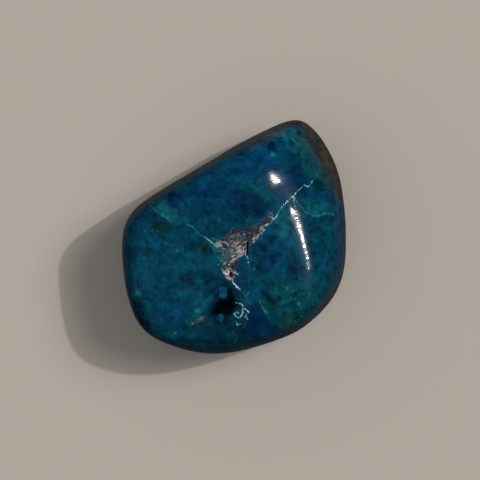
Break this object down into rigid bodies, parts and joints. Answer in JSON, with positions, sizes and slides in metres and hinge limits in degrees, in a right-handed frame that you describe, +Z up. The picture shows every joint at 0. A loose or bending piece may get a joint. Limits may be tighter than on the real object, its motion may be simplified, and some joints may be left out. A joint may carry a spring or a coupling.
{
  "type": "tumbled chrysocolla stone",
  "caption": "Polished tumbled mineral specimen in deep teal and blue with a small rough hollow and fine cracks; rests on a worn flat underneath.",
  "frame": {"origin": "middle of the stone's footprint, on the surface that it rests on", "axes": "+Z up from the worn flat underneath to the top with the rough hollow, +Y towards the narrow end with the brown rim, +X towards the side on the right of that end as seen from above"},
  "size_m": [0.0256, 0.0266, 0.0142],
  "materials": {
    "polished_chrysocolla": "tumble-polished, mottled teal, blue and green, with a rough pale hollow"
  },
  "bodies": {
    "root": {"tumbled_stone": "polished_chrysocolla"}
  },
  "joints": []
}
